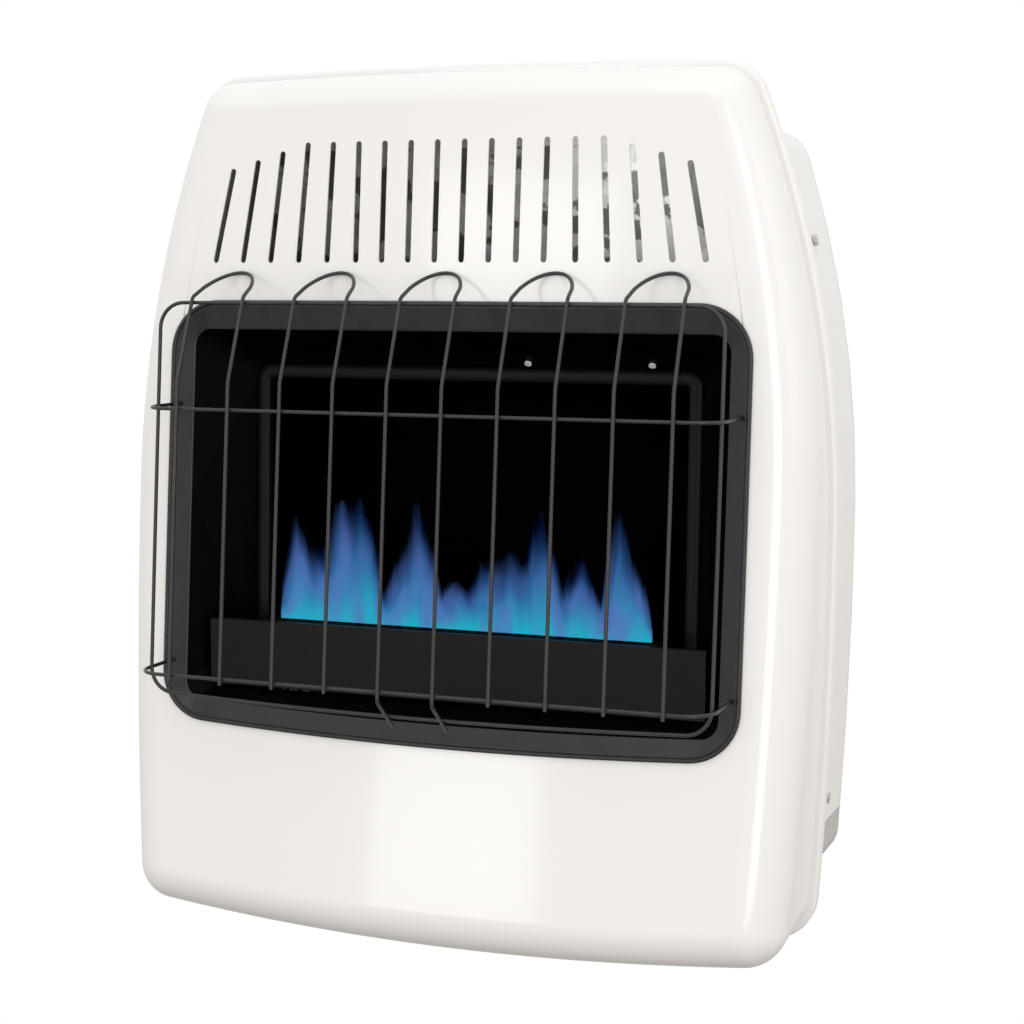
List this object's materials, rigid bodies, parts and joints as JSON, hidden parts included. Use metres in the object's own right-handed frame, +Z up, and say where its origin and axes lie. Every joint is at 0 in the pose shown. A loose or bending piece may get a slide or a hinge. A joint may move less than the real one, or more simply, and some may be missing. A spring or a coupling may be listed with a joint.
{
  "type": "wall mounted gas heater",
  "caption": "White wall mounted gas heater with a bowed casing, slotted top, black framed firebox, blue flame burner and a black wire guard.",
  "frame": {"origin": "On the back panel's rear face, the plane that lies on the wall, on the heater's vertical centre line, level with the widest part of the casing.", "axes": "+X across the heater to the viewer's right, +Y toward the wall, +Z up. The firebox and its guard face -Y."},
  "size_m": [0.589, 0.2507, 0.696],
  "materials": {
    "gloss_white": "gloss white enamel",
    "satin_white": "satin white powder coat",
    "grey_back": "grey primed sheet",
    "zinc_plate": "zinc plated",
    "galvanised": "spangled galvanised sheet",
    "satin_black": "satin black paint",
    "flare_enamel": "dark brown enamel, slightly glossy",
    "frame_steel": "heat toned satin steel",
    "soot_black": "matt black heat proof paint",
    "panel_steel": "dark brownish grey satin",
    "burner_steel": "plain stamped steel",
    "brass": "machined",
    "copper": "drawn copper",
    "cast_aluminium": "die cast and drawn",
    "ceramic": "glazed ceramic",
    "black_plastic": "moulded",
    "red_plastic": "moulded",
    "guard_wire": "black coated wire",
    "blue_flame": null
  },
  "bodies": {
    "heater": {"front_casing": "gloss_white", "rear_chassis": "satin_white", "back_panel": "grey_back", "side_screw_1": "zinc_plate", "side_screw_2": "zinc_plate", "side_screw_3": "zinc_plate", "side_screw_4": "zinc_plate", "heat_deflector": "galvanised", "bezel_frame": "satin_black", "firebox_flare": "flare_enamel", "inner_frame": "frame_steel", "combustion_box": "soot_black", "firebox_screw_1": "zinc_plate", "firebox_screw_2": "zinc_plate", "lower_panel": "panel_steel", "burner_body": "burner_steel", "flame_curtain": "blue_flame", "burner_mixer_tube": "burner_steel", "injector_holder": "brass", "burner_bracket_left": "zinc_plate", "burner_bracket_right": "zinc_plate", "pilot_bracket": "zinc_plate", "pilot_burner": "brass", "igniter_electrode": "ceramic", "thermocouple": "copper", "pilot_tube": "cast_aluminium", "igniter_wire": "red_plastic", "gas_valve": "cast_aluminium", "valve_bracket": "zinc_plate", "igniter_body": "black_plastic", "igniter_nut": "zinc_plate", "regulator": "cast_aluminium", "inlet_fitting": "brass", "supply_tube": "cast_aluminium", "manifold_tube": "cast_aluminium", "guard_ring": "guard_wire", "guard_rail_upper": "guard_wire", "guard_rail_lower": "guard_wire", "guard_hairpin_1": "guard_wire", "guard_hairpin_2": "guard_wire", "guard_hairpin_3": "guard_wire", "guard_hairpin_4": "guard_wire", "guard_hairpin_5": "guard_wire"},
    "stem_collar": {"stem_collar": "brass"},
    "knob": {"valve_stem": "brass", "control_knob": "black_plastic"},
    "igniter_button": {"igniter_button": "red_plastic"}
  },
  "joints": [
    {"name": "knob_push", "type": "slide", "parent": "heater", "child": "stem_collar", "axis": [0, 0, -1], "range_m": [0, 0.004], "stiffness_N_per_m": 900, "springref_m": -0.002},
    {"name": "knob_turn", "type": "hinge", "parent": "stem_collar", "child": "knob", "pos_m": [0.17, -0.048, 0.3], "axis": [0, 0, 1], "range_deg": [0, 180]},
    {"name": "igniter_press", "type": "slide", "parent": "heater", "child": "igniter_button", "axis": [0, 0, -1], "range_m": [0, 0.006], "stiffness_N_per_m": 700, "springref_m": -0.002}
  ]
}
